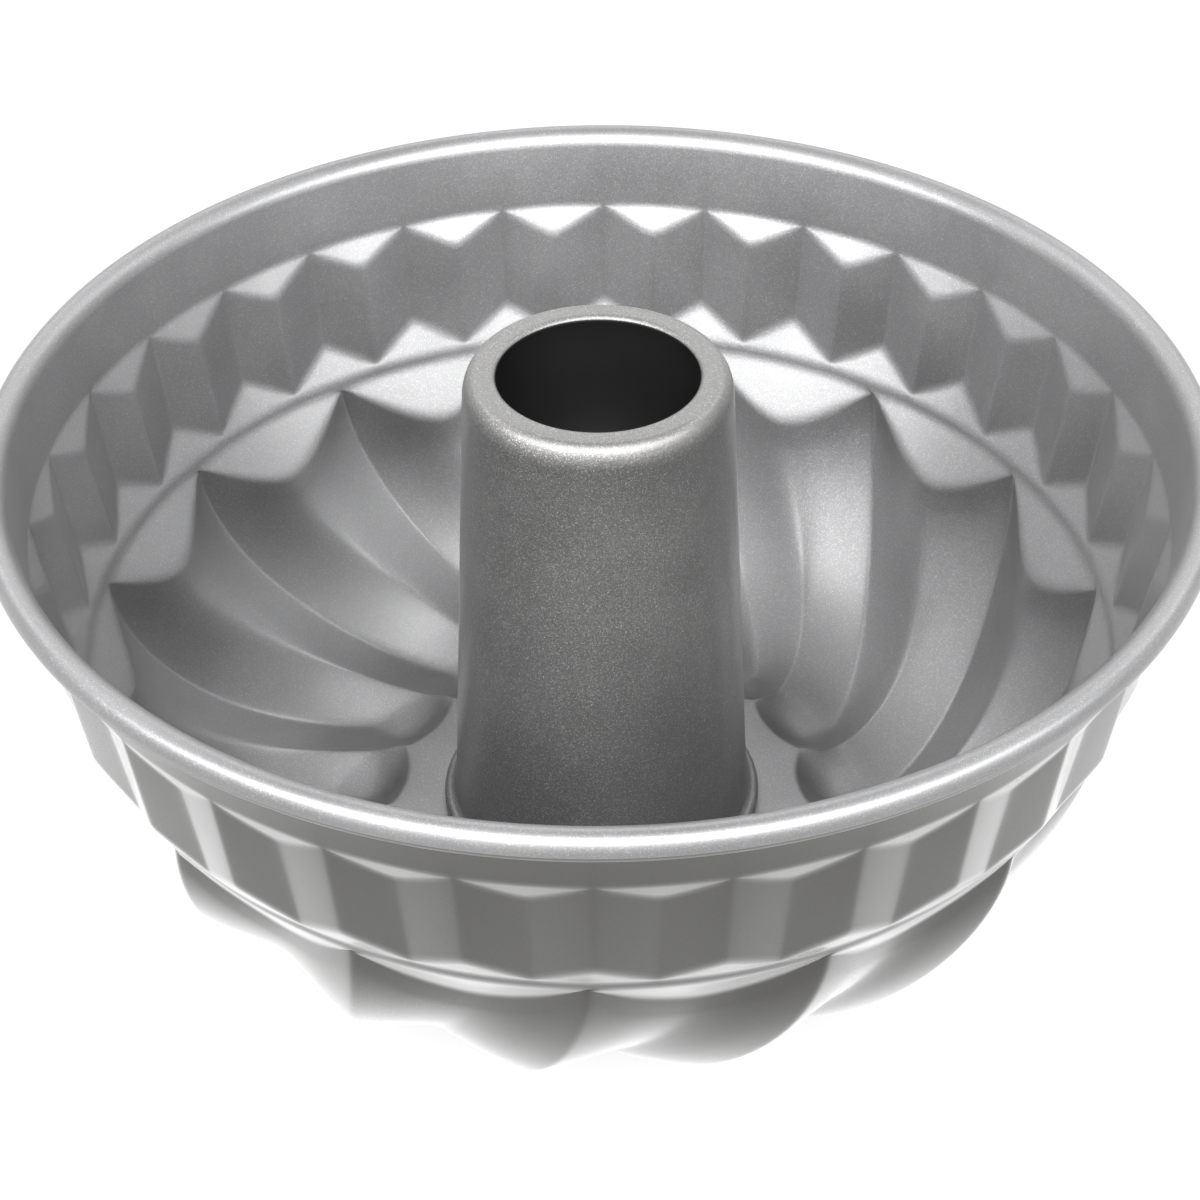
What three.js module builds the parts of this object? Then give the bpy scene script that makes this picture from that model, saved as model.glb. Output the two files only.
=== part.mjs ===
import * as THREE from "three";

// Fluted tube pan. Sizes are in millimetres, angles in degrees.
// The pan stands on the bottoms of its flutes at height zero, and its axis is Z.

// Sheet metal and the play between the two pieces
const sheetThickness = 0.6;
const seatClearance = 0.3;

// Rolled rim and the plain collar under it
const rimRadius = 110;
const rimTop = 96.8;
const beadRadius = 2.8;
const curlSweep = 300;
const collarHeight = 13;
const collarInset = 1.7;

// Band of upright pleats under the collar
const pleatHeight = 21.6;
const pleatInset = 3.1;
const pleatShoulderDrop = 5.4;
const pleatShoulderDepth = 1.65;
const pleatFootShare = 0.85;
const pleatCrestShare = 0.28;

// Sloping ledge and plain ring between the pleats and the flutes
const ledgeDrop = 5.6;
const ledgeInset = 4.2;
const ringHeight = 3.4;
const creaseGap = 0.4;

// Swirling flutes of the bowl, with one flute under every two pleats
const fluteCount = 15;
const pleatsPerFlute = 2;
const fluteCrestShare = 0.36;
const footFlatShare = 0.36;
const footFlatGrowth = 4;
const footTolerance = 0.01;

// Lines of a flute as shares of the bowl's width and height, with the turn at each mark
const grooveLine = [
  { width: 1, height: 1, turn: 0.6 },
  { width: 1, height: 0.63, turn: 1.5 },
  { width: 0.75, height: 0, turn: 7.4 },
  { width: 0.12, height: 0, turn: 23.9 },
];
const crestLine = [
  { width: 0.888, height: 0.795, turn: 1.6 },
  { width: 0.902, height: 0.57, turn: 0.6 },
  { width: 0.642, height: 0.06, turn: 11.8 },
  { width: 0.055, height: 0.09, turn: 22.7 },
];

// Flat floor around the tube and the noses that end the flutes there
const floorRise = 6.7;
const floorWidth = 8.1;
const floorCusp = 2.5;
const floorTurn = 24.4;
const noseReach = 9.9;
const noseHollow = 2.2;
const grooveEndTurn = 24.2;
const crestEndReach = 8.6;
const crestEndDrop = 1.5;
const crestEndTurn = 23.7;

// Centre tube
const tubeTop = 106.5;
const tubeTopRadius = 24.2;
const tubeFootRadius = 28.6;
const tubeHoleRadius = 18.1;
const tubeShoulderRadius = 2.6;

// Bead and flange that clamp the tube to the edge of the floor's hole
const footBeadReach = 2.4;
const footBeadHeight = 2.6;
const footFlare = 1.2;
const neckInset = 0.7;
const flangeReach = 3.6;

// Fineness of the surfaces
const bowlSteps = 7;
const noseSteps = 3;
const curlSteps = 10;
const hiddenCurlStride = 3;
const tubeSegments = 40;
const arcSteps = 4;

// Finish of the coating
const coatingColour = 0x858583;
const coatingRoughness = 0.36;
const coatingMetalness = 0.8;

const half = 0.5;
const fullTurn = 360;
const quarterTurn = 90;

// Heights and radii that follow from the sizes
const beadCentreRadius = rimRadius - beadRadius;
const beadCentreHeight = rimTop - beadRadius;
const collarFootRadius = beadCentreRadius - beadRadius - collarInset;
const collarFootHeight = beadCentreHeight - collarHeight;
const pleatFootRadius = collarFootRadius - pleatInset;
const pleatFootHeight = collarFootHeight - pleatHeight;
const ringRadius = pleatFootRadius - ledgeInset;
const ringTop = pleatFootHeight - ledgeDrop;
const ringFoot = ringTop - ringHeight;
const floorHeight = sheetThickness + floorRise;
const footBeadRadius = tubeFootRadius + footBeadReach;
const floorRadius = footBeadRadius + floorWidth;
const crestEndRadius = floorRadius + crestEndReach;
const grooveEndRadius = floorRadius + noseReach;
const neckRadius = tubeFootRadius - neckInset;
const holeRadius = neckRadius + seatClearance;
const bowlWidth = ringRadius - grooveEndRadius;
const bowlHeight = ringFoot - creaseGap - sheetThickness;

// A place on the shell holds radius, height and turn about the axis
function place(radius, height, turn = 0) {
  return new THREE.Vector3(radius, height, turn);
}

// Rounded zigzag: 1 on a crest, 0 in the groove, with an optional flat in the groove
function zigzag(share, crestShare, flatShare = 0) {
  const reach = Math.abs(share - half) / (1 - flatShare);
  const crestHalf = crestShare * half;
  const straight = 1 - reach / half;
  const rounded = 1 - crestHalf - (reach * reach) / crestHalf;
  const rise = reach < crestHalf ? rounded : straight;
  return Math.max(rise, 0) / (1 - crestHalf);
}

// One column of points for each groove, crest and edge of a rounded crest of the pleats
function makeColumns() {
  const flutes = Math.round(fluteCount);
  const pleats = flutes * pleatsPerFlute;
  const steps = [0, half - pleatCrestShare * half, half, half + pleatCrestShare * half];
  const columns = [];
  for (let pleat = 0; pleat < pleats; pleat += 1) {
    for (const step of steps) {
      const position = pleat + step;
      columns.push({
        angle: (position * fullTurn) / pleats,
        pleatShare: step,
        fluteShare: ((position + 1) / pleatsPerFlute) % 1,
      });
    }
  }
  return columns;
}

// A row that is the same at every column
function levelRow(radius, height, turn) {
  return () => place(radius, height, turn);
}

// A row that runs between a groove place and a crest place of the pleats
function pleatRow(groove, crest) {
  return (column) => groove.clone().lerp(crest, zigzag(column.pleatShare, pleatCrestShare));
}

// A row that runs between a groove place and a crest place of the flutes
function fluteRow(groove, crest, flatShare) {
  return (column) => groove.clone().lerp(crest, zigzag(column.fluteShare, fluteCrestShare, flatShare));
}

// Curve through the marks of a flute line
function fluteCurve(marks) {
  const points = marks.map((mark) => place(
    grooveEndRadius + mark.width * bowlWidth,
    sheetThickness + mark.height * bowlHeight,
    mark.turn,
  ));
  return new THREE.CubicBezierCurve3(...points);
}

// Floor and hollow noses, from the hole outwards to the ends of the flutes
function floorRows() {
  const grooveLanding = place(floorRadius, floorHeight, floorTurn);
  const crestLanding = place(floorRadius + floorCusp, floorHeight, floorTurn);
  const grooveEnd = place(grooveEndRadius, sheetThickness, grooveEndTurn);
  const crestEnd = place(crestEndRadius, floorHeight - crestEndDrop, crestEndTurn);
  const rows = [levelRow(holeRadius, floorHeight, floorTurn)];
  for (let step = 0; step <= noseSteps; step += 1) {
    const share = step / noseSteps;
    const groove = grooveLanding.clone().lerp(grooveEnd, share);
    groove.y = sheetThickness + floorRise * (1 - share) ** noseHollow;
    const crest = crestLanding.clone().lerp(crestEnd, share);
    rows.push(fluteRow(groove, crest, footFlatShare));
  }
  return rows;
}

// Flutes of the bowl, from their feet up to the ring
function bowlRows() {
  const grooveCurve = fluteCurve(grooveLine);
  const crestCurve = fluteCurve(crestLine);
  const rows = [];
  for (let step = bowlSteps; step >= 0; step -= 1) {
    const share = step / bowlSteps;
    const flatShare = footFlatShare * share ** footFlatGrowth;
    rows.push(fluteRow(grooveCurve.getPoint(share), crestCurve.getPoint(share), flatShare));
  }
  return rows;
}

// Ring, ledge, pleats and collar
function wallRows() {
  const shoulderShare = pleatShoulderDrop / pleatHeight;
  const creaseShare = creaseGap / pleatHeight;
  const grooveTop = place(collarFootRadius, collarFootHeight);
  const grooveFoot = place(pleatFootRadius, pleatFootHeight);
  const shoulderGroove = grooveTop.clone().lerp(grooveFoot, creaseShare);
  const shoulderCrest = grooveTop.clone().lerp(grooveFoot, shoulderShare);
  shoulderCrest.x -= pleatShoulderDepth;
  const crestFoot = grooveFoot.clone().lerp(place(ringRadius, ringTop), pleatFootShare);
  return [
    levelRow(ringRadius, ringFoot),
    levelRow(ringRadius, ringTop),
    pleatRow(grooveFoot, crestFoot),
    pleatRow(shoulderGroove, shoulderCrest),
    levelRow(collarFootRadius, collarFootHeight),
  ];
}

// Rolled rim, from the top of the collar over and round to the free edge of the sheet
function rimRows() {
  const rows = [];
  for (let step = 0; step <= curlSteps; step += 1) {
    const angle = THREE.MathUtils.degToRad((curlSweep * step) / curlSteps);
    const radius = beadCentreRadius - beadRadius * Math.cos(angle);
    const height = beadCentreHeight + beadRadius * Math.sin(angle);
    rows.push(levelRow(radius, height));
  }
  return rows;
}

// Point in space of a place on a column
function toPoint(column, spot) {
  const angle = THREE.MathUtils.degToRad(column.angle + spot.z);
  return new THREE.Vector3(spot.x * Math.sin(angle), spot.x * Math.cos(angle), spot.y);
}

// Normals of the faces that meet at a point of the food side, facing away from the food
function faceNormals(face, level, index) {
  const row = face[level];
  const point = row[index];
  const before = row[(index + row.length - 1) % row.length];
  const after = row[(index + 1) % row.length];
  const upwards = [];
  if (level > 0) {
    upwards.push(point.clone().sub(face[level - 1][index]));
  }
  if (level < face.length - 1) {
    upwards.push(face[level + 1][index].clone().sub(point));
  }
  const around = [point.clone().sub(before), after.clone().sub(point)];
  return upwards.flatMap((up) => around.map((along) => up.clone().cross(along).normalize()));
}

// The other face of the sheet, one thickness away, which stands on the ground where it is lowest
function backFace(face) {
  return face.map((row, level) => row.map((point, index) => {
    const normals = faceNormals(face, level, index);
    const middle = normals.reduce((sum, normal) => sum.add(normal), new THREE.Vector3()).normalize();
    const lean = normals.reduce((sum, normal) => sum + normal.dot(middle), 0) / normals.length;
    const moved = point.clone().addScaledVector(middle, sheetThickness / lean);
    if (point.z < sheetThickness + footTolerance) {
      moved.z = 0;
    }
    return moved;
  }));
}

// Closed skin over rows of points, each quad split along the lean of the flutes
function skin(bands) {
  const positions = [];
  for (const { lower, upper, flipped } of bands) {
    for (let index = 0; index < lower.length; index += 1) {
      const next = (index + 1) % lower.length;
      const corners = [lower[index], lower[next], upper[next], upper[index]];
      const order = flipped ? [0, 2, 1, 0, 3, 2] : [0, 1, 2, 0, 2, 3];
      for (const corner of order) {
        positions.push(...corners[corner].toArray());
      }
    }
  }
  const geometry = new THREE.BufferGeometry();
  geometry.setAttribute("position", new THREE.Float32BufferAttribute(positions, 3));
  geometry.computeVertexNormals();
  return geometry;
}

// Fluted shell: one drawn sheet from the floor's hole to the free edge of the rolled rim
function shellGeometry() {
  const columns = makeColumns();
  const plainRows = [...floorRows(), ...bowlRows(), ...wallRows()];
  const rows = [...plainRows, ...rimRows()];
  const food = rows.map((row) => columns.map((column) => toPoint(column, row(column))));
  const isKept = (level) => {
    const curlLevel = level - plainRows.length;
    return curlLevel < 0 || curlLevel % hiddenCurlStride === 0 || level === rows.length - 1;
  };
  const back = backFace(food).filter((row, level) => isKept(level));
  const bands = [{ lower: back[0], upper: food[0], flipped: false }];
  for (let level = 1; level < food.length; level += 1) {
    bands.push({ lower: food[level - 1], upper: food[level], flipped: false });
  }
  bands.push({ lower: food.at(-1), upper: back.at(-1), flipped: false });
  for (let level = 1; level < back.length; level += 1) {
    bands.push({ lower: back[level - 1], upper: back[level], flipped: true });
  }
  return skin(bands);
}

// Points along an arc in the profile plane
function arc(radius, height, size, fromAngle, toAngle) {
  const points = [];
  for (let step = 0; step <= arcSteps; step += 1) {
    const angle = THREE.MathUtils.degToRad(THREE.MathUtils.lerp(fromAngle, toAngle, step / arcSteps));
    points.push(new THREE.Vector2(radius + size * Math.cos(angle), height + size * Math.sin(angle)));
  }
  return points;
}

// Centre tube: a drawn cup with a holed top, a bead above the floor and a flange under it
function tubeGeometry() {
  const shoulderCentre = tubeTopRadius - tubeShoulderRadius;
  const shoulderHeight = tubeTop - tubeShoulderRadius;
  const beadSize = footBeadHeight * half;
  const beadCentre = footBeadRadius - beadSize;
  const beadHeight = floorHeight + seatClearance + beadSize;
  const flareHeight = beadHeight + beadSize + footFlare;
  const flangeTop = floorHeight - sheetThickness - seatClearance;
  const flangeFoot = flangeTop - sheetThickness;
  const flangeRadius = neckRadius + flangeReach;
  const innerNeck = neckRadius - sheetThickness;
  const innerBead = beadSize - sheetThickness;
  const outside = [
    new THREE.Vector2(tubeHoleRadius, tubeTop),
    ...arc(shoulderCentre, shoulderHeight, tubeShoulderRadius, quarterTurn, 0),
    new THREE.Vector2(tubeFootRadius, flareHeight),
    ...arc(beadCentre, beadHeight, beadSize, quarterTurn, -quarterTurn),
    new THREE.Vector2(neckRadius, beadHeight - beadSize),
    new THREE.Vector2(neckRadius, flangeTop),
    new THREE.Vector2(flangeRadius, flangeTop),
  ];
  const inside = [
    new THREE.Vector2(flangeRadius, flangeFoot),
    new THREE.Vector2(innerNeck, flangeFoot),
    new THREE.Vector2(innerNeck, beadHeight - innerBead),
    ...arc(beadCentre, beadHeight, innerBead, -quarterTurn, quarterTurn),
    new THREE.Vector2(tubeFootRadius - sheetThickness, flareHeight),
    ...arc(shoulderCentre, shoulderHeight, tubeShoulderRadius - sheetThickness, 0, quarterTurn),
    new THREE.Vector2(tubeHoleRadius, tubeTop - sheetThickness),
  ];
  const profile = [...outside, ...inside, outside[0]].reverse();
  const geometry = new THREE.LatheGeometry(profile, tubeSegments);
  geometry.rotateX(THREE.MathUtils.degToRad(quarterTurn));
  return geometry;
}

function piece(name, geometry) {
  const material = new THREE.MeshStandardMaterial({
    color: coatingColour,
    roughness: coatingRoughness,
    metalness: coatingMetalness,
  });
  const mesh = new THREE.Mesh(geometry, material);
  mesh.name = name;
  return mesh;
}

const pan = new THREE.Group();
pan.name = "fluted_tube_pan";
pan.add(piece("fluted_shell", shellGeometry()));
pan.add(piece("centre_tube", tubeGeometry()));

export default pan;
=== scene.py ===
# %% [markdown]
# # A fluted tube pan
# A tube pan of this kind is two drawn sheets of coated steel: a fluted bowl with a rolled rim, and a
# tapered tube clamped into the hole in its floor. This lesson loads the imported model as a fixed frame,
# then builds a finer skin for each of the two pieces in the same place and gives them their coating.

# %% Load the frame
import math

import bpy
import numpy as np
from mathutils import Matrix, Vector


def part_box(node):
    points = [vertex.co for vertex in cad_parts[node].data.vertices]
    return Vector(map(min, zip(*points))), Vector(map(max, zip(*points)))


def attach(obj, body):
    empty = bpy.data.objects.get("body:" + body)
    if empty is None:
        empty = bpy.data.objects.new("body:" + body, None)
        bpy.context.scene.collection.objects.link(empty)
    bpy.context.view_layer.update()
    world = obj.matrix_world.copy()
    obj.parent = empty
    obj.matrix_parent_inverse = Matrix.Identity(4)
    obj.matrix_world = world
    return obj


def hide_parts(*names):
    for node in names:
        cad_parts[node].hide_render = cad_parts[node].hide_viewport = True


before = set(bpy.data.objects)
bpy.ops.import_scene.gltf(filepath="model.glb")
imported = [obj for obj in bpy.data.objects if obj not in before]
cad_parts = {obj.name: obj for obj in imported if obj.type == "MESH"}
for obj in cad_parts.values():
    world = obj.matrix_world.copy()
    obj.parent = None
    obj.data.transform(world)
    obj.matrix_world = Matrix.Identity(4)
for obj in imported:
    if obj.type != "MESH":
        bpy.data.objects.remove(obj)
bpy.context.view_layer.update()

MM = 0.001
shell_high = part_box("fluted_shell")[1]
tube_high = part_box("centre_tube")[1]

# %% [markdown]
# ## The camera
# The viewer stands in front of the pan and looks down into it from close by with a short telephoto lens.
# The pan itself stays square to the frame, so the camera goes round by the small turn that the pan has.

# %% Camera
LENS = 82.05
STAND_OFF = 490.1 * MM
STAND_ELEVATION = math.radians(34.62)
LOOK_DOWN = math.radians(38.17)
CAMERA_ROLL = math.radians(0.5)
PAN_TURN = math.radians(0.815)
BEAD_RADIUS = 2.8 * MM
MATRIX_SIZE = 4

aim_height = shell_high.z - BEAD_RADIUS
stand_back = STAND_OFF * math.cos(STAND_ELEVATION)
stand_up = aim_height + STAND_OFF * math.sin(STAND_ELEVATION)
camera = bpy.data.objects.new("camera", bpy.data.cameras.new("camera"))
camera.data.lens = LENS
camera.matrix_world = (
    Matrix.Rotation(PAN_TURN, MATRIX_SIZE, "Z")
    @ Matrix.Translation((0, -stand_back, stand_up))
    @ Matrix.Rotation(math.pi / 2 - LOOK_DOWN, MATRIX_SIZE, "X")
    @ Matrix.Rotation(-CAMERA_ROLL, MATRIX_SIZE, "Z")
)
bpy.context.scene.collection.objects.link(camera)
bpy.context.scene.camera = camera
print("camera stands at", [round(value, 3) for value in camera.matrix_world.translation])

# %% [markdown]
# ## The stage
# A product like this is shot on a white sweep, so that its metal has something white to mirror. The floor
# is a plain pale sheet. What the camera and the mirror-like rays see of it is mixed towards plain white,
# which leaves a little of the pan's own shadow. They see the room as plain white too, and the rest of
# the light in the room is a little dimmer. Seen from below the sheet is clear.

# %% Paper of the floor
FLOOR_GREY = 0.7
FLOOR_WHITE_SHARE = 0.86


def new_material(name):
    """An empty node material with its output node."""
    material = bpy.data.materials.new(name)
    material.use_nodes = True
    material.node_tree.nodes.clear()
    return material, material.node_tree.nodes.new("ShaderNodeOutputMaterial")


def seen_ray(nodes, links):
    """1 for the rays that show a surface to the camera, straight or in a mirror or through glass."""
    path = nodes.new("ShaderNodeLightPath")
    either = nodes.new("ShaderNodeMath")
    either.operation = "MAXIMUM"
    links.new(path.outputs["Is Camera Ray"], either.inputs[0])
    links.new(path.outputs["Is Glossy Ray"], either.inputs[1])
    any_ray = nodes.new("ShaderNodeMath")
    any_ray.operation = "MAXIMUM"
    links.new(either.outputs[0], any_ray.inputs[0])
    links.new(path.outputs["Is Transmission Ray"], any_ray.inputs[1])
    return any_ray.outputs[0]


def floor_material():
    """Pale paper that shows as white with a faint shadow, and is clear from below."""
    material, output = new_material("white_sweep")
    nodes, links = material.node_tree.nodes, material.node_tree.links
    paper = nodes.new("ShaderNodeBsdfDiffuse")
    paper.inputs["Color"].default_value = (FLOOR_GREY, FLOOR_GREY, FLOOR_GREY, 1)
    white = nodes.new("ShaderNodeEmission")
    clear = nodes.new("ShaderNodeBsdfTransparent")
    share = nodes.new("ShaderNodeMath")
    share.operation = "MULTIPLY"
    share.inputs[1].default_value = FLOOR_WHITE_SHARE
    links.new(seen_ray(nodes, links), share.inputs[0])
    sweep = nodes.new("ShaderNodeMixShader")
    links.new(share.outputs[0], sweep.inputs[0])
    links.new(paper.outputs[0], sweep.inputs[1])
    links.new(white.outputs[0], sweep.inputs[2])
    sides = nodes.new("ShaderNodeMixShader")
    geometry = nodes.new("ShaderNodeNewGeometry")
    links.new(geometry.outputs["Backfacing"], sides.inputs[0])
    links.new(sweep.outputs[0], sides.inputs[1])
    links.new(clear.outputs[0], sides.inputs[2])
    links.new(sides.outputs[0], output.inputs["Surface"])
    return material


paper_of_floor = floor_material()
print("share of plain white in the paper:", FLOOR_WHITE_SHARE)

# %% Floor
FLOOR_HALF = 4.0
FLOOR_SINK = 0.02 * MM


def mesh_object(name, points, faces=(), edges=()):
    """A new object at the origin from points in metres."""
    mesh = bpy.data.meshes.new(name)
    mesh.from_pydata(points, edges, faces)
    mesh.update()
    made = bpy.data.objects.new(name, mesh)
    bpy.context.scene.collection.objects.link(made)
    return made


corners = [(-1, -1), (1, -1), (1, 1), (-1, 1)]
floor_points = [(FLOOR_HALF * x, FLOOR_HALF * y, -FLOOR_SINK) for x, y in corners]
floor = mesh_object("floor", floor_points, [(0, 1, 2, 3)])
floor.data.materials.append(paper_of_floor)
print("width of the floor in metres:", 2 * FLOOR_HALF)

# %% Room
ROOM_LIGHT = 0.95

world = bpy.data.worlds.new("white_room")
bpy.context.scene.world = world
world.use_nodes = True
world_nodes, world_links = world.node_tree.nodes, world.node_tree.links
background = world_nodes["Background"]
background.inputs["Color"].default_value = (1, 1, 1, 1)
room_strength = world_nodes.new("ShaderNodeMapRange")
room_strength.inputs["To Min"].default_value = ROOM_LIGHT
world_links.new(seen_ray(world_nodes, world_links), room_strength.inputs["Value"])
world_links.new(room_strength.outputs["Result"], background.inputs["Strength"])
bpy.context.scene.view_settings.view_transform = "Standard"
print("light of the room:", ROOM_LIGHT)

# %% [markdown]
# ## The lamps
# The bright band on the rolled rim is a picture of the lamps: they stand in front of the pan, a little
# above its rim, and reach far round to both sides. Three large softboxes side by side make that arc, and a
# weaker one hangs over them. Three faint ones behind the pan lift the flat top of the tube and the flutes
# at the sides. A lamp's power grows with its area, so the table holds the brightness of its face, and the
# power follows.

# %% Soft lamps
LAMP_DISTANCE = 1.6
WATTS_PER_RADIANCE = 4
LAMPS = {
    "front": {"azimuth": 0, "rise": 30, "width": 1.7, "height": 0.55, "radiance": 6.2},
    "left": {"azimuth": -53, "rise": 30, "width": 1.35, "height": 0.55, "radiance": 6.1},
    "right": {"azimuth": 53, "rise": 30, "width": 1.35, "height": 0.55, "radiance": 5},
    "above": {"azimuth": -4, "rise": 52, "width": 2.6, "height": 0.65, "radiance": 4.6},
    "behind": {"azimuth": 180, "rise": 40, "width": 1.2, "height": 0.7, "radiance": 1.1},
    "behind_left": {"azimuth": -125, "rise": 42, "width": 1.1, "height": 0.7, "radiance": 1.7},
    "behind_right": {"azimuth": 125, "rise": 42, "width": 1.1, "height": 0.7, "radiance": 1.7},
}


def soft_lamp(name, azimuth, rise, width, height, radiance):
    """A softbox that faces the pan. Azimuth 0 is in front of it and 90 is on its right."""
    around, up = math.radians(azimuth), math.radians(rise)
    out = Vector((math.sin(around) * math.cos(up), -math.cos(around) * math.cos(up), math.sin(up)))
    light = bpy.data.lights.new(name, "AREA")
    light.shape = "RECTANGLE"
    light.size = width
    light.size_y = height
    light.energy = WATTS_PER_RADIANCE * radiance * width * height
    lamp = bpy.data.objects.new(name, light)
    lamp.location = out * LAMP_DISTANCE
    lamp.rotation_euler = out.to_track_quat("Z", "Y").to_euler()
    lamp.visible_camera = False
    bpy.context.scene.collection.objects.link(lamp)


for lamp_name, lamp in LAMPS.items():
    soft_lamp(lamp_name, **lamp)
print("lamps:", ", ".join(LAMPS))

# %% [markdown]
# ## How a coating is made
# The food side of the steel wears a grey non-stick coat that is loaded with fine metal flakes. It mirrors
# its surroundings in a blurred way, like satin metal, and each flake leans a little, so it sparkles. A
# clear binder lies on top, which shines most where it is seen at a flat angle. A cell pattern gives each
# flake its own lean, tint and brightness, a slow noise gives the sheet its faint clouds, and a fine noise
# gives the slight orange peel of a sprayed coat. All of it is fixed to the object, so it stays in place
# when the viewer moves. A picture of real steel could do the same, but it would show seams and pixels.

# %% Small helpers for the coating
def joined(links, socket, value):
    """Gives a socket a plain value, or joins it to the output of another node."""
    if isinstance(value, (int, float, tuple)):
        socket.default_value = value
    else:
        links.new(value, socket)


def vector_node(nodes, links, operation, first, second):
    """A vector maths node; a scale takes a number or a socket as its second value."""
    node = nodes.new("ShaderNodeVectorMath")
    node.operation = operation
    joined(links, node.inputs[0], first)
    joined(links, node.inputs["Scale" if operation == "SCALE" else 1], second)
    return node.outputs["Vector"]


def spread(nodes, links, value, from_range, to_range):
    """Maps a socket from one range to another."""
    node = nodes.new("ShaderNodeMapRange")
    links.new(value, node.inputs["Value"])
    node.inputs["From Min"].default_value, node.inputs["From Max"].default_value = from_range
    node.inputs["To Min"].default_value, node.inputs["To Max"].default_value = to_range
    return node.outputs["Result"]


def noise(nodes, links, place, size, detail):
    """Soft noise whose lumps are about as large as the size."""
    node = nodes.new("ShaderNodeTexNoise")
    node.inputs["Scale"].default_value = 1 / size
    node.inputs["Detail"].default_value = detail
    links.new(place, node.inputs["Vector"])
    return node.outputs["Fac"]


print("helpers for the coating are ready")

# %% Coating material
FLAKE = 0.16 * MM
BRIGHT_FLAKES = 0.2
MIDDLE = (0.5, 0.5, 0.5)
WHOLE = (1.0, 1.0, 1.0)
PEEL = 1.1 * MM
PEEL_DETAIL = 2
PEEL_HEIGHT = 0.006 * MM
CLOUD = 26 * MM
CLOUD_DETAIL = 4
CLOUD_RANGE = (0.3, 0.7)
CLOUD_TONE = 0.06
CLOUD_ROUGHNESS = 0.04
BINDER_INDEX = 1.55
BLOOM_ROUGHNESS = 0.35


def coating(name, colour, roughness, binder, bloom, flake_lean, flake_tint, flake_shine):
    """Satin coat with flakes. Binder is the clear layer's roughness, bloom the haze at flat angles."""
    material, output = new_material(name)
    nodes, links = material.node_tree.nodes, material.node_tree.links
    shader = nodes.new("ShaderNodeBsdfPrincipled")
    shader.inputs["Metallic"].default_value = 1
    shader.inputs["Coat Weight"].default_value = 1
    shader.inputs["Coat Roughness"].default_value = binder
    shader.inputs["Coat IOR"].default_value = BINDER_INDEX
    shader.inputs["Sheen Weight"].default_value = bloom
    shader.inputs["Sheen Roughness"].default_value = BLOOM_ROUGHNESS
    links.new(shader.outputs[0], output.inputs["Surface"])
    place = nodes.new("ShaderNodeTexCoord").outputs["Object"]
    clouds = noise(nodes, links, place, CLOUD, CLOUD_DETAIL)
    peel = noise(nodes, links, place, PEEL, PEEL_DETAIL)
    flakes = nodes.new("ShaderNodeTexVoronoi")
    flakes.inputs["Scale"].default_value = 1 / FLAKE
    links.new(place, flakes.inputs["Vector"])
    flake = vector_node(nodes, links, "SUBTRACT", flakes.outputs["Color"], MIDDLE)

    tint = vector_node(nodes, links, "SCALE", flake, flake_tint)
    shift = vector_node(nodes, links, "ADD", tint, WHOLE)
    tinted = vector_node(nodes, links, "MULTIPLY", shift, colour)
    parts = nodes.new("ShaderNodeSeparateColor")
    links.new(flakes.outputs["Color"], parts.inputs["Color"])
    glint = spread(nodes, links, parts.outputs["Red"], (1 - BRIGHT_FLAKES, 1), (1, 1 + flake_shine))
    cloud = spread(nodes, links, clouds, CLOUD_RANGE, (1 - CLOUD_TONE, 1 + CLOUD_TONE))
    clouded = vector_node(nodes, links, "SCALE", tinted, cloud)
    links.new(vector_node(nodes, links, "SCALE", clouded, glint), shader.inputs["Base Color"])
    rough_range = (roughness - CLOUD_ROUGHNESS, roughness + CLOUD_ROUGHNESS)
    links.new(spread(nodes, links, clouds, CLOUD_RANGE, rough_range), shader.inputs["Roughness"])

    bump = nodes.new("ShaderNodeBump")
    bump.inputs["Distance"].default_value = PEEL_HEIGHT
    links.new(peel, bump.inputs["Height"])
    lean = vector_node(nodes, links, "SCALE", flake, flake_lean)
    leaning = vector_node(nodes, links, "ADD", bump.outputs["Normal"], lean)
    facing = nodes.new("ShaderNodeVectorMath")
    facing.operation = "NORMALIZE"
    links.new(leaning, facing.inputs[0])
    links.new(facing.outputs["Vector"], shader.inputs["Normal"])
    return material


print("a flake is", FLAKE / MM, "mm across")
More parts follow.
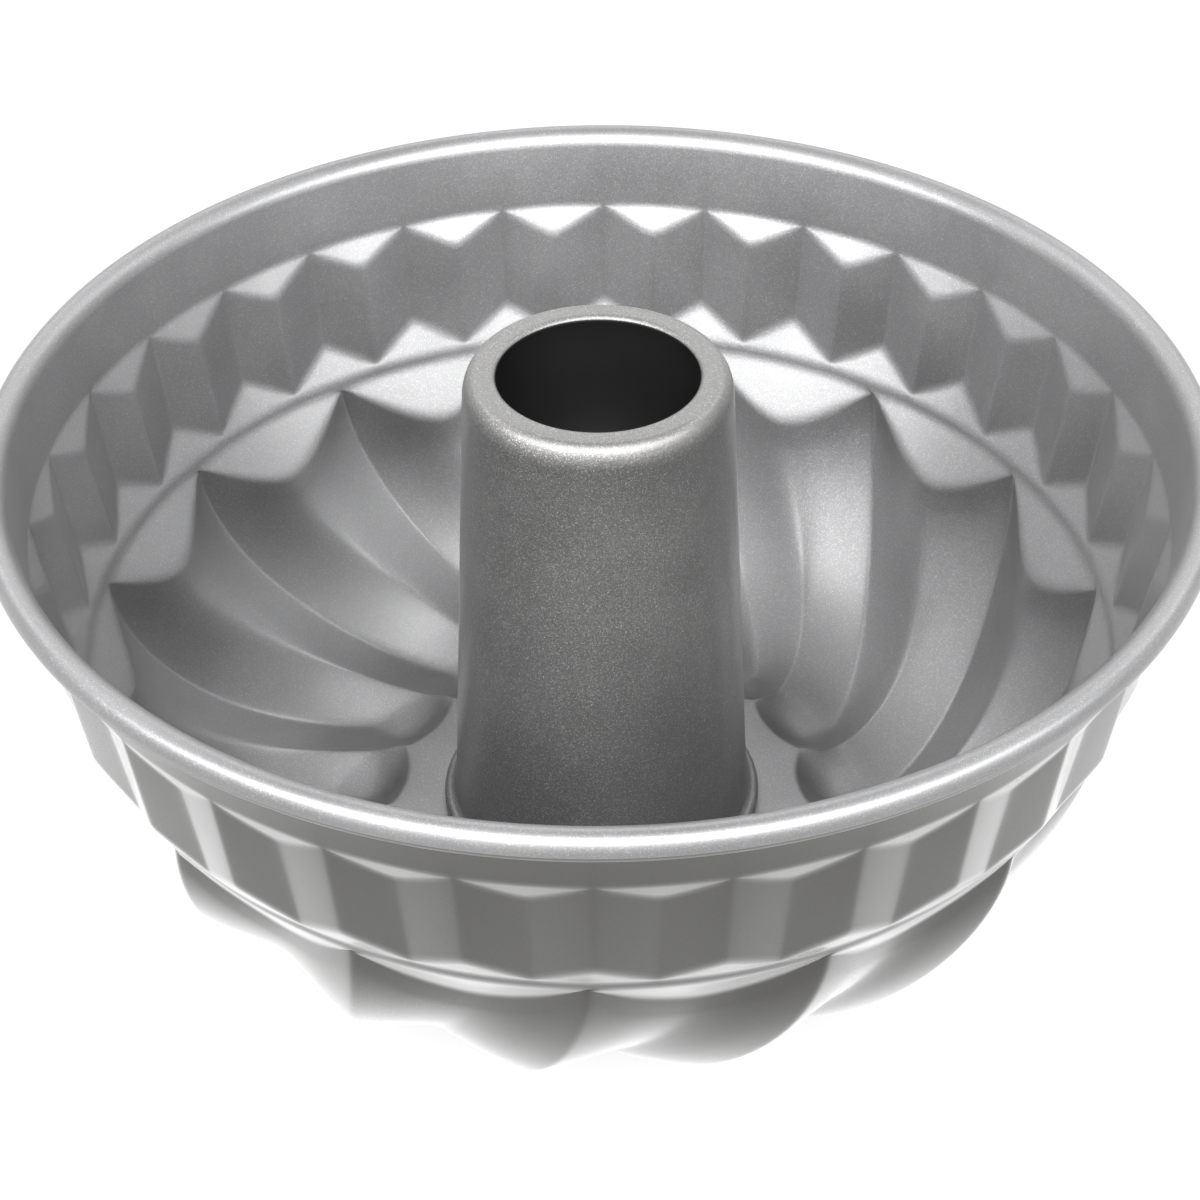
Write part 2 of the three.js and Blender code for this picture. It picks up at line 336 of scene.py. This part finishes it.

# %% [markdown]
# ## The five coats
# A baker's sheet is coated in two passes: the food side gets the pale flaked coat, and the other side a
# darker, smoother one with a haze that shows at flat angles. Where the roll of the rim turns under, a dark
# coat without the haze is painted on as shade. The tube is a sheet of its own with coarser sparkle, and
# almost black inside. One function with
# different values makes all five, so they stay related.

# %% Mix the coats
COATS = {
    "shell_food_coat": {
        "colour": (0.226, 0.226, 0.229),
        "roughness": 0.5,
        "binder": 0.3,
        "bloom": 0,
        "flake_lean": 0.08,
        "flake_tint": 0.08,
        "flake_shine": 0.5,
    },
    "shell_back_coat": {
        "colour": (0.0435, 0.0422, 0.0394),
        "roughness": 0.3,
        "binder": 0.1,
        "bloom": 0.25,
        "flake_lean": 0.01,
        "flake_tint": 0.04,
        "flake_shine": 0.2,
    },
    # Painted shade: this darker coat without haze on the underside of the roll stands in for the shade
    # there.
    "rim_painted_shade": {
        "colour": (0.047, 0.0455, 0.043),
        "roughness": 0.35,
        "binder": 0.3,
        "bloom": 0,
        "flake_lean": 0.01,
        "flake_tint": 0.04,
        "flake_shine": 0.2,
    },
    "tube_food_coat": {
        "colour": (0.167, 0.1655, 0.163),
        "roughness": 0.56,
        "binder": 0.3,
        "bloom": 0,
        "flake_lean": 0.2,
        "flake_tint": 0.04,
        "flake_shine": 1.1,
    },
    "tube_back_coat": {
        "colour": (0.037, 0.037, 0.039),
        "roughness": 0.5,
        "binder": 0.3,
        "bloom": 0,
        "flake_lean": 0.01,
        "flake_tint": 0.04,
        "flake_shine": 0.2,
    },
}
coats = {coat_name: coating(coat_name, **values) for coat_name, values in COATS.items()}
print("coatings:", ", ".join(coats))

# %% [markdown]
# ## The fluted shell
# The bowl is drawn from one round sheet, so one rule can describe it. Every height of the wall is a row of
# places, and a place holds a radius, a height and a turn about the axis. From the rim down come a plain
# collar, a band of pleats, a sloping ledge, a narrow ring and the flutes. The rim's width and height come
# from the frame, and the bands hang below it one after the other, so a change at the top moves them all.

# %% Sizes of the shell, in millimetres
SHEET = 0.6
RIM_RADIUS = shell_high.x / MM
RIM_TOP = shell_high.z / MM
COLLAR_HEIGHT = 13
COLLAR_INSET = 1.7
PLEAT_HEIGHT = 21.6
PLEAT_INSET = 3.1
LEDGE_DROP = 6.3
LEDGE_INSET = 3.9
RING_HEIGHT = 2.2
RING_INSET = 0.6

bead = BEAD_RADIUS / MM
bead_centre = np.array([RIM_RADIUS - bead, RIM_TOP - bead])
collar_foot = bead_centre - [bead + COLLAR_INSET, COLLAR_HEIGHT]
pleat_foot = collar_foot - [PLEAT_INSET, PLEAT_HEIGHT]
ring_top = pleat_foot - [LEDGE_INSET, LEDGE_DROP]
ring_foot = ring_top - [RING_INSET, RING_HEIGHT]
print("collar foot, pleat foot and ring:", collar_foot, pleat_foot, ring_top)

# %% [markdown]
# ## The lines of the flutes
# A flute swirls while it runs down the bowl, so its groove and its crest are two curves in space. Each is
# drawn like a line in a drawing program: it starts at the first of four marks, ends at the last, and leans
# towards the two between them. The marks are shares of the bowl's width and height with a turn in degrees,
# so a wider or deeper bowl keeps the swirl. Where the shares are nought, the flutes' feet carry the pan.

# %% Marks of the flute lines
NOSE_FOOT_RADIUS = 49
CREASE_GAP = 0.4

# A mark is a share of the bowl's width, a share of its height, and a turn in degrees
GROOVE_MARKS = [(1, 1, 0.6), (1, 0.63, 1.5), (0.652, 0.023, 7.7), (0.12, 0, 23.9)]
CREST_MARKS = [(0.857, 0.813, 1.1), (0.845, 0.62, 1.4), (0.557, 0.075, 13.4), (0.055, 0.08, 22.7)]

bowl_origin = np.array([NOSE_FOOT_RADIUS, SHEET, 0])
bowl_span = np.array([ring_foot[0] - NOSE_FOOT_RADIUS, ring_foot[1] - CREASE_GAP - SHEET, 1])
groove_marks = bowl_origin + bowl_span * np.array(GROOVE_MARKS)
crest_marks = bowl_origin + bowl_span * np.array(CREST_MARKS)
print("width and height of the bowl in mm:", bowl_span[:2])

# %% [markdown]
# ## Rules for folds and corners
# Drawn steel is never folded quite sharp. A zigzag gets its rounds from the square root of a sum of
# squares, which turns a corner into a curve as wide as one chooses. A corner between two rows is cut off
# by a short curve instead. The columns of points stand close together at the folds, where the sheet bends,
# and far apart on the faces between them, so the bends are real shape and the mesh stays light. One more
# column on each side shows how the sheet goes on there.

# %% Folds and curves
CORNER_SHARE = 0.45


def zigzag(across, flat, groove_round, crest_round):
    """0 in a groove and 1 on a crest, where across runs from 0 to 1 between them."""

    def raw(x):
        groove = (np.hypot(x - flat, groove_round) + np.hypot(x + flat, groove_round)) / 2
        return groove + 1 - np.hypot(1 - x, crest_round) - x

    return (raw(across) - raw(0)) / (raw(1) - raw(0))


def bezier(marks, share):
    """Place on the curve of four marks; share may be one number or one for each column."""
    share = np.asarray(share)[..., None]
    rest = 1 - share
    a, b, c, d = (np.asarray(mark) for mark in marks)
    return rest**3 * a + 3 * rest**2 * share * b + 3 * rest * share**2 * c + share**3 * d


def between(groove, crest, rise):
    """Places between a groove place and a crest place."""
    return groove + (crest - groove) * rise[:, None]


def gap(first, second):
    """Distance in millimetres from one row of places to another, column by column."""
    around = np.radians(first[:, 2] - second[:, 2]) * first[:, 0]
    return np.sqrt((first[:, 0] - second[:, 0]) ** 2 + (first[:, 1] - second[:, 1]) ** 2 + around**2)


def rounded_corner(before, corner, after, cut, steps):
    """Rows that take the edge off a corner between two rows."""
    reach_back = np.minimum(cut, CORNER_SHARE * gap(corner, before)) / gap(corner, before)
    reach_on = np.minimum(cut, CORNER_SHARE * gap(corner, after)) / gap(corner, after)
    start = corner + (before - corner) * reach_back[:, None]
    end = corner + (after - corner) * reach_on[:, None]
    shares = np.linspace(0, 1, steps)
    return [(1 - t) ** 2 * start + 2 * t * (1 - t) * corner + t**2 * end for t in shares]


print("most of a face that one corner takes:", CORNER_SHARE)

# %% Columns of one flute
FLUTES = 15
PLEATS_PER_FLUTE = 2
HALF_PLEAT_STEPS = [0, 0.015, 0.036, 0.07, 0.15, 0.28, 0.39, 0.446, 0.478]
MARGIN_COLUMNS = 1
FULL_TURN = 360

half_steps = np.array(HALF_PLEAT_STEPS)
pleat_steps = np.concatenate([half_steps, [0.5], 1 - half_steps[:0:-1]])
all_pleat_steps = [pleat_steps + pleat for pleat in range(PLEATS_PER_FLUTE)]
flute_steps = np.concatenate(all_pleat_steps) / PLEATS_PER_FLUTE
column_before = flute_steps[-MARGIN_COLUMNS:] - 1
columns_after = flute_steps[: MARGIN_COLUMNS + 1] + 1
column = np.concatenate([column_before, flute_steps, columns_after])
pleat_across = 1 - np.abs(1 - 2 * ((column * PLEATS_PER_FLUTE) % 1))
flute_across = 1 - np.abs(1 - 2 * (column % 1))
column_angle = (column - 0.5) * FULL_TURN / FLUTES
print("columns in one flute:", len(flute_steps))

# %% [markdown]
# ## From the hole to the scallops
# The floor lies higher than the flutes' feet, and is flat from the tube's hole to a cusped edge. There the
# sheet drops into the noses, which are hollow like a spoon, and goes on into the flutes. A flute's crest is
# broad at the top and sharper further down, and its foot has a narrow flat to stand on. The rows start at
# the hole and work outwards and up to the scalloped line under the ring.

# %% Row of the flutes
FLAT_SHARE = 0.06
FLAT_GROWTH = 4
GROOVE_ROUND = 0.02
FOOT_ROUND = 0.08
CREST_ROUND_TOP = 0.6
CREST_ROUND_FOOT = 0.03
CREST_SHARPENING = 2.3


def level(radius, height, turn=0.0):
    """A row that is the same at every column."""
    return np.tile([radius, height, turn], (len(column), 1))


def flute_rise(share):
    """Zigzag of a flute at a share of its way down, one share for each column."""
    near_foot = share**FLAT_GROWTH
    near_top = (1 - share) ** CREST_SHARPENING
    groove_round = GROOVE_ROUND + FOOT_ROUND * near_foot
    crest_round = CREST_ROUND_FOOT + (CREST_ROUND_TOP - CREST_ROUND_FOOT) * near_top
    return zigzag(flute_across, FLAT_SHARE * near_foot, groove_round, crest_round)


def flute_row(share):
    """Row of the flutes at a share of their way down."""
    share = np.broadcast_to(share, len(column))
    return between(bezier(groove_marks, share), bezier(crest_marks, share), flute_rise(share))


print("the flutes start at radius", flute_row(0.0)[:, 0].max(), "and end at", flute_row(1.0)[:, 0].min())

# %% Rows of the floor and the noses
HOLE_RADIUS = 28.2
FLOOR_RISE = 6.7
FLOOR_RADIUS = 39.1
FLOOR_CUSP = 2.5
FLOOR_TURN = 24.4
FLOOR_CUT = 0.8
FLOOR_CUT_STEPS = 5
NOSE_STEPS = 14
NOSE_HOLLOW = 2.2
CREST_LANDING = np.array([44.6, SHEET + FLOOR_RISE, 24.6])
LAST_OF_CREST = 0.93

floor_height = SHEET + FLOOR_RISE
groove_landing = np.array([FLOOR_RADIUS, floor_height, FLOOR_TURN])
cusp = groove_landing + [FLOOR_CUSP, 0, 0]
crest_end = crest_marks[-1]
crest_lead = 2 * crest_end - bezier(crest_marks, LAST_OF_CREST)
crest_run = [cusp, CREST_LANDING, crest_lead, crest_end]
foot_rise = flute_rise(np.ones(len(column)))


def nose_row(share):
    """Row of the noses at a share of the way from the floor's edge to the flutes."""
    groove = groove_landing + (groove_marks[-1] - groove_landing) * share
    height_left = max(NOSE_FOOT_RADIUS - groove[0], 0) / (NOSE_FOOT_RADIUS - FLOOR_RADIUS)
    groove[1] = SHEET + FLOOR_RISE * height_left**NOSE_HOLLOW
    rise = flute_across**2 * (1 - share) + foot_rise * share
    return between(groove, bezier(crest_run, share), rise)


hole_row = level(HOLE_RADIUS, floor_height, FLOOR_TURN)
nose_rows = [nose_row(share) for share in np.linspace(0, 1, NOSE_STEPS + 1)[:-1]]
rows = [hole_row, *rounded_corner(hole_row, nose_rows[0], nose_rows[1], FLOOR_CUT, FLOOR_CUT_STEPS)]
rows += nose_rows[1:]
print("rows of the floor and the noses:", len(rows))

# %% Rows up to the scallops
BOWL_STEPS = 22
SCALLOP_CUT = 2.8
FIRST_OF_FLUTE = 0.01

ring_foot_row = level(*ring_foot)
scallop_corner = flute_row(0.0)
first_step = flute_row(FIRST_OF_FLUTE)
cut = np.minimum(SCALLOP_CUT, CORNER_SHARE * gap(scallop_corner, ring_foot_row))
cut_share = FIRST_OF_FLUTE * cut / gap(scallop_corner, first_step)
for share in np.linspace(1, 0, BOWL_STEPS + 1):
    rows.append(flute_row(cut_share + (1 - cut_share) * share))
scallop_start = rows.pop()
print("rows up to the scallops:", len(rows))

# %% [markdown]
# ## From the scallops to the rolled rim
# Each pleat has a sloping shoulder at its top and a pointed foot on the ledge. The rim is the edge of the
# sheet, rolled outwards and down over itself. A plain ring of round wire would be simpler, but the inner
# bend of the roll is wider than its outer one, and where it turns under the pale coat gives way to a dark
# one that is painted shade. So the rows run on up the collar and round an oval.

# %% Rows of the pleats
SHOULDER_DROP = 5.1
SHOULDER_DEPTH = 2
PLEAT_FOOT_SHARE = 0.85
PLEAT_GROOVE_ROUND = 0.02
SHOULDER_CREST_ROUND = 0.14
FOOT_GROOVE_ROUND = 0.05
FOOT_CREST_ROUND = 0.05


def pleat_row(groove, crest, groove_round, crest_round):
    """Row of the pleats between a groove and a crest, each given by radius and height."""
    rise = zigzag(pleat_across, 0, groove_round, crest_round)
    return between(np.append(groove, 0), np.append(crest, 0), rise)


pleat_slope = (pleat_foot - collar_foot) / PLEAT_HEIGHT
shoulder_groove = collar_foot + pleat_slope * CREASE_GAP
shoulder_crest = collar_foot + pleat_slope * SHOULDER_DROP - [SHOULDER_DEPTH, 0]
crest_foot = pleat_foot + (ring_top - pleat_foot) * PLEAT_FOOT_SHARE

shoulder_row = pleat_row(shoulder_groove, shoulder_crest, PLEAT_GROOVE_ROUND, SHOULDER_CREST_ROUND)
pleat_foot_row = pleat_row(pleat_foot, crest_foot, FOOT_GROOVE_ROUND, FOOT_CREST_ROUND)
print("top and foot of a pleat's crest:", shoulder_crest, crest_foot)

# %% Oval of the rolled rim
INNER_ROLL = np.array([3.25, 3.8])
OUTER_ROLL = np.array([2.25, 2.8])

roll_top = np.array([RIM_RADIUS - OUTER_ROLL[0], RIM_TOP])
to_roll = (roll_top - [0, INNER_ROLL[1]] - collar_foot) / INNER_ROLL
tangent_turn = math.asin(1 / np.hypot(*to_roll))
curl_start = math.atan2(to_roll[1], to_roll[0]) + tangent_turn + math.pi / 2


def on_roll(angle):
    """Radius and height on the rolled rim, whose inner bend is wider than its outer one."""
    size = INNER_ROLL if angle > math.pi / 2 else OUTER_ROLL
    return roll_top + size * np.array([math.cos(angle), math.sin(angle) - 1])


collar_top = on_roll(curl_start)
print("the collar meets the roll at", collar_top)

# %% Rows from the scallops to the rim
CORNER_STEPS = 5
SCALLOP_STEPS = 6
RING_CUT = 1.3
PLEAT_FOOT_CUT = 1.7
SHOULDER_CUT = 1.4
COLLAR_CUT = 0.8
CURL_SWEEP = 300
CURL_STEPS = 20

corner_rows = [
    (scallop_corner, SCALLOP_CUT, SCALLOP_STEPS),
    (ring_foot_row, RING_CUT, CORNER_STEPS),
    (level(*ring_top), RING_CUT, CORNER_STEPS),
    (pleat_foot_row, PLEAT_FOOT_CUT, CORNER_STEPS),
    (shoulder_row, SHOULDER_CUT, SCALLOP_STEPS),
    (level(*collar_foot), COLLAR_CUT, CORNER_STEPS),
]
for index, (corner, size, steps) in enumerate(corner_rows):
    before = scallop_start if index == 0 else corner_rows[index - 1][0]
    after = level(*collar_top) if index == len(corner_rows) - 1 else corner_rows[index + 1][0]
    rows += rounded_corner(before, corner, after, size, steps)
plain_rows = len(rows)
curl_end = math.pi - math.radians(CURL_SWEEP)
curl_angles = np.linspace(curl_start, curl_end, CURL_STEPS + 1)
for angle in curl_angles:
    rows.append(level(*on_roll(angle)))
print("rows in all:", len(rows))

# %% [markdown]
# ## One flute with both faces
# The rows and columns give the food side of one flute. The back of the sheet lies one thickness away. The
# Solidify modifier could make it, but it thins the sheet at sharp folds, so the script moves each point
# along the mean of its faces, and further where they lean apart. The hidden back of the roll needs only
# every second row. Two marks on the faces say which of them are on the food side and which under the roll,
# for the coats; the dark coat under the roll is painted shade.

# %% Both sides of the sheet
places = np.array(rows)
angles = np.radians(column_angle + places[:, :, 2])
radii, heights = places[:, :, 0], places[:, :, 1]
food = np.stack([radii * np.sin(angles), radii * np.cos(angles), heights], axis=2)


def quad_normals(grid):
    """Unit normal of every quad of a grid of points, facing away from the food."""
    across = (grid[:-1, 1:] - grid[:-1, :-1] + grid[1:, 1:] - grid[1:, :-1]) / 2
    upward = (grid[1:, :-1] - grid[:-1, :-1] + grid[1:, 1:] - grid[:-1, 1:]) / 2
    normals = np.cross(upward, across)
    return normals / np.linalg.norm(normals, axis=2, keepdims=True)


def other_face(grid):
    """The back of the sheet, one thickness away from the food side."""
    normals = quad_normals(grid)
    normals = np.concatenate([normals[:1], normals, normals[-1:]])
    around = [normals[:-1, :-1], normals[:-1, 1:], normals[1:, :-1], normals[1:, 1:]]
    middle = sum(around)
    middle /= np.linalg.norm(middle, axis=2, keepdims=True)
    lean = sum((normal * middle).sum(axis=2) for normal in around) / len(around)
    return grid[:, 1:-1] + middle * (SHEET / lean)[:, :, None]


back = other_face(food)
food = food[:, MARGIN_COLUMNS:-MARGIN_COLUMNS]
print("rows and columns of points on one side:", food.shape[:2])

# %% One flute of sheet
FOOD_SIDE = "food_side"
RIM_UNDERSIDE = "rim_underside"
BACK_OF_ROLL_STRIDE = 2
# Below this bend the roll gets the dark rim coat, which is painted shade.
PAINTED_SHADE_EDGE = math.radians(-4)

back_of_roll = range(plain_rows, len(rows), BACK_OF_ROLL_STRIDE)
kept_back = [*range(plain_rows), *back_of_roll]
loops = np.concatenate([food, back[kept_back][::-1]])
loop_count, across_count = loops.shape[:2]
faces = []
for row in range(loop_count):
    above = (row + 1) % loop_count
    for step in range(across_count - 1):
        first, second = row * across_count + step, above * across_count + step
        faces.append((first, first + 1, second + 1, second))
shell = mesh_object("fluted_shell_sheet", loops.reshape(-1, 3) * MM, faces)
food_rows = plain_rows + np.count_nonzero(curl_angles > PAINTED_SHADE_EDGE)
loop_number = np.repeat(np.arange(loop_count), across_count - 1)
is_food = loop_number < food_rows
sides = {FOOD_SIDE: is_food, RIM_UNDERSIDE: ~is_food & (loop_number < len(rows))}
for side, is_side in sides.items():
    shell.data.attributes.new(side, "BOOLEAN", "FACE").data.foreach_set("value", is_side)
print("one flute:", len(faces), "faces, lowest point in mm:", round(loops[:, :, 2].min(), 4))

# %% [markdown]
# ## Fifteen flutes
# The tool that draws such a pan repeats one flute all round, and so does this tree of geometry nodes: a
# point for each flute, a copy of the flute on it turned about the axis, and a weld that joins the copies
# into one sheet. Then each face gets the coat of its side. The result is kept as a plain mesh.

# %% Tree that repeats a flute
def ring_tree():
    """Node tree that repeats a mesh round Z and welds the copies into one sheet."""
    tree = bpy.data.node_groups.new("flutes_round_the_axis", "GeometryNodeTree")
    sockets = tree.interface
    sockets.new_socket("Flute", in_out="INPUT", socket_type="NodeSocketGeometry")
    sockets.new_socket("Count", in_out="INPUT", socket_type="NodeSocketInt")
    sockets.new_socket("Weld", in_out="INPUT", socket_type="NodeSocketFloat")
    sockets.new_socket("Food coat", in_out="INPUT", socket_type="NodeSocketMaterial")
    sockets.new_socket("Back coat", in_out="INPUT", socket_type="NodeSocketMaterial")
    sockets.new_socket("Rim painted shade", in_out="INPUT", socket_type="NodeSocketMaterial")
    sockets.new_socket("Shell", in_out="OUTPUT", socket_type="NodeSocketGeometry")
    nodes, links = tree.nodes, tree.links
    given = nodes.new("NodeGroupInput")
    result = nodes.new("NodeGroupOutput")
    points = nodes.new("GeometryNodePoints")
    links.new(given.outputs["Count"], points.inputs["Count"])
    pitch = nodes.new("ShaderNodeMath")
    pitch.operation = "DIVIDE"
    pitch.inputs[0].default_value = 2 * math.pi
    links.new(given.outputs["Count"], pitch.inputs[1])
    turn = nodes.new("ShaderNodeMath")
    turn.operation = "MULTIPLY"
    links.new(nodes.new("GeometryNodeInputIndex").outputs["Index"], turn.inputs[0])
    links.new(pitch.outputs[0], turn.inputs[1])
    about_axis = nodes.new("ShaderNodeCombineXYZ")
    links.new(turn.outputs[0], about_axis.inputs["Z"])
    copies = nodes.new("GeometryNodeInstanceOnPoints")
    links.new(points.outputs["Points"], copies.inputs["Points"])
    links.new(given.outputs["Flute"], copies.inputs["Instance"])
    links.new(about_axis.outputs["Vector"], copies.inputs["Rotation"])
    real = nodes.new("GeometryNodeRealizeInstances")
    links.new(copies.outputs["Instances"], real.inputs["Geometry"])
    weld = nodes.new("GeometryNodeMergeByDistance")
    links.new(real.outputs["Geometry"], weld.inputs["Geometry"])
    links.new(given.outputs["Weld"], weld.inputs["Distance"])
    back_coat = nodes.new("GeometryNodeSetMaterial")
    links.new(weld.outputs["Geometry"], back_coat.inputs["Geometry"])
    links.new(given.outputs["Back coat"], back_coat.inputs["Material"])
    coated = back_coat
    # The food side gets its coat, and the rim underside the dark coat that is painted shade.
    for side, coat_input in ((FOOD_SIDE, "Food coat"), (RIM_UNDERSIDE, "Rim painted shade")):
        is_side = nodes.new("GeometryNodeInputNamedAttribute")
        is_side.data_type = "BOOLEAN"
        is_side.inputs["Name"].default_value = side
        coat = nodes.new("GeometryNodeSetMaterial")
        links.new(coated.outputs["Geometry"], coat.inputs["Geometry"])
        links.new(is_side.outputs["Attribute"], coat.inputs["Selection"])
        links.new(given.outputs[coat_input], coat.inputs["Material"])
        coated = coat
    links.new(coated.outputs["Geometry"], result.inputs["Shell"])
    return tree


flute_ring = ring_tree()
print("nodes in the tree:", len(flute_ring.nodes))

# %% Repeat the flute round the axis
WELD = 0.002 * MM
SMOOTH_ANGLE = math.radians(50)


def keep_result(piece, modifier):
    """Makes what a modifier gives the plain mesh of its piece, smooth but for the sharp bends."""
    depsgraph = bpy.context.evaluated_depsgraph_get()
    mesh = bpy.data.meshes.new_from_object(piece.evaluated_get(depsgraph))
    piece.modifiers.remove(modifier)
    piece.data = mesh
    mesh.shade_smooth()
    mesh.set_sharp_from_angle(angle=SMOOTH_ANGLE)


def run_tree(piece, tree, values):
    """Runs a node tree on a piece, with a value for each named input."""
    modifier = piece.modifiers.new(tree.name, "NODES")
    modifier.node_group = tree
    for socket in tree.interface.items_tree:
        if socket.name in values:
            modifier[socket.identifier] = values[socket.name]
    keep_result(piece, modifier)


shell_values = {
    "Count": FLUTES,
    "Weld": WELD,
    "Food coat": coats["shell_food_coat"],
    "Back coat": coats["shell_back_coat"],
    "Rim painted shade": coats["rim_painted_shade"],
}
run_tree(shell, flute_ring, shell_values)
shell.data.calc_loop_triangles()
print("shell:", len(shell.data.loop_triangles), "triangles")

# %% [markdown]
# ## The centre tube
# The tube is a drawn cup with a hole in its top, whose edge is turned down. Its foot is swelled into a
# bead above the floor and folded out into a flange below, which clamps the edge of the floor's hole like
# an eyelet. It is round, so it needs only a closed outline: the outside from the hole down to the flange,
# and the inside back up. Its shoulder is an oval bend that runs gently into the wall.

# %% Tube outline
TUBE_TOP = tube_high.z / MM
TUBE_TOP_RADIUS = 24.2
TUBE_FOOT_RADIUS = 28.6
TUBE_HOLE_RADIUS = 18.1
TUBE_SHOULDER = np.array([2.4, 5])
LIP_ROUND = np.array([1, 1])
FOOT_BEAD_RADIUS = 31
FOOT_BEAD_HEIGHT = 2.6
FOOT_FLARE = 1.2
NECK_RADIUS = 27.9
FLANGE_RADIUS = 31.5
SEAT_GAP = 0.3
ARC_STEP = 7.5


def arc(centre, half_size, start, end):
    """Points of a round or oval arc in the outline plane, angles in degrees."""
    angles = np.radians(np.linspace(start, end, round(abs(end - start) / ARC_STEP) + 1))
    return [tuple(centre + half_size * [math.cos(angle), math.sin(angle)]) for angle in angles]


shoulder_centre = np.array([TUBE_TOP_RADIUS, TUBE_TOP]) - TUBE_SHOULDER
lip_centre = np.array([TUBE_HOLE_RADIUS + LIP_ROUND[0], TUBE_TOP - LIP_ROUND[1]])
foot_size = FOOT_BEAD_HEIGHT / 2
foot_round = np.array([foot_size, foot_size])
foot_centre = np.array([FOOT_BEAD_RADIUS - foot_size, floor_height + SEAT_GAP + foot_size])
flare_height = foot_centre[1] + foot_size + FOOT_FLARE
flange_top = floor_height - SHEET - SEAT_GAP
outline = [
    *arc(lip_centre, LIP_ROUND, 180, 90),
    *arc(shoulder_centre, TUBE_SHOULDER, 90, 0),
    (TUBE_FOOT_RADIUS, flare_height),
    *arc(foot_centre, foot_round, 90, -90),
    (NECK_RADIUS, foot_centre[1] - foot_size),
    (NECK_RADIUS, flange_top),
    (FLANGE_RADIUS, flange_top),
    (FLANGE_RADIUS, flange_top - SHEET),
    (NECK_RADIUS - SHEET, flange_top - SHEET),
    (NECK_RADIUS - SHEET, foot_centre[1] - foot_size + SHEET),
    *arc(foot_centre, foot_round - SHEET, -90, 90),
    (TUBE_FOOT_RADIUS - SHEET, flare_height),
    *arc(shoulder_centre, TUBE_SHOULDER - SHEET, 0, 90),
    *arc(lip_centre, LIP_ROUND - SHEET, 90, 180),
]
print("points in the tube's outline:", len(outline))

# %% [markdown]
# ## Turn the tube and coat it
# The Screw modifier turns the outline once round the axis, as a lathe would. The volume inside a closed
# mesh tells whether its faces point outwards, and how much steel is in it. Faces that look away from the
# axis, or lie on the top, get the food coat, and the inside gets the dark one.

# %% Turn the tube
TUBE_TURN_STEPS = 144


def turned(name, outline, steps):
    """A closed outline of radius and height turned once round Z."""
    count = len(outline)
    points = [(radius * MM, 0, height * MM) for radius, height in outline]
    edges = [(index, (index + 1) % count) for index in range(count)]
    piece = mesh_object(name, points, edges=edges)
    screw = piece.modifiers.new("turning", "SCREW")
    screw.axis = "Z"
    screw.angle = 2 * math.pi
    screw.steps = screw.render_steps = steps
    screw.use_merge_vertices = True
    screw.merge_threshold = WELD
    keep_result(piece, screw)
    return piece


tube = turned("centre_tube_sheet", outline, TUBE_TURN_STEPS)
print("faces of the tube:", len(tube.data.polygons))

# %% Measure the steel
ML_PER_CUBIC_METRE = 1e6


def enclosed(piece):
    """Volume inside a closed piece, in millilitres. It is negative if the faces point inwards."""
    mesh = piece.data
    mesh.calc_loop_triangles()
    corners = np.zeros(len(mesh.vertices) * 3)
    mesh.vertices.foreach_get("co", corners)
    triangles = np.zeros(len(mesh.loop_triangles) * 3, int)
    mesh.loop_triangles.foreach_get("vertices", triangles)
    a, b, c = corners.reshape(-1, 3)[triangles.reshape(-1, 3)].transpose(1, 0, 2)
    six_volumes = np.einsum("ij,ij->i", a, np.cross(b, c)).sum()
    return six_volumes / 6 * ML_PER_CUBIC_METRE


for piece in (shell, tube):
    if enclosed(piece) < 0:
        piece.data.flip_normals()
    print(piece.name, "holds", round(enclosed(piece), 2), "ml of steel")

# %% Coats of the tube
lip = tube_high.z - SHEET * MM
for coat_name in ("tube_food_coat", "tube_back_coat"):
    tube.data.materials.append(coats[coat_name])
for face in tube.data.polygons:
    outward = face.normal.x * face.center.x + face.normal.y * face.center.y
    face.material_index = 0 if outward > 0 or face.center.z > lip else 1
print("coats of the tube:", ", ".join(coat.name for coat in tube.data.materials))

# %% [markdown]
# ## Seat the pieces
# Both pieces take the place of their solids in the frame and ride on its one body. Nothing of them may
# reach outside the box of the solids.

# %% Seat the pieces
seats = ((shell, "fluted_shell", "shell_coating"), (tube, "centre_tube", "tube_coating"))
for piece, node, slot in seats:
    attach(piece, "root")
    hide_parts(node)
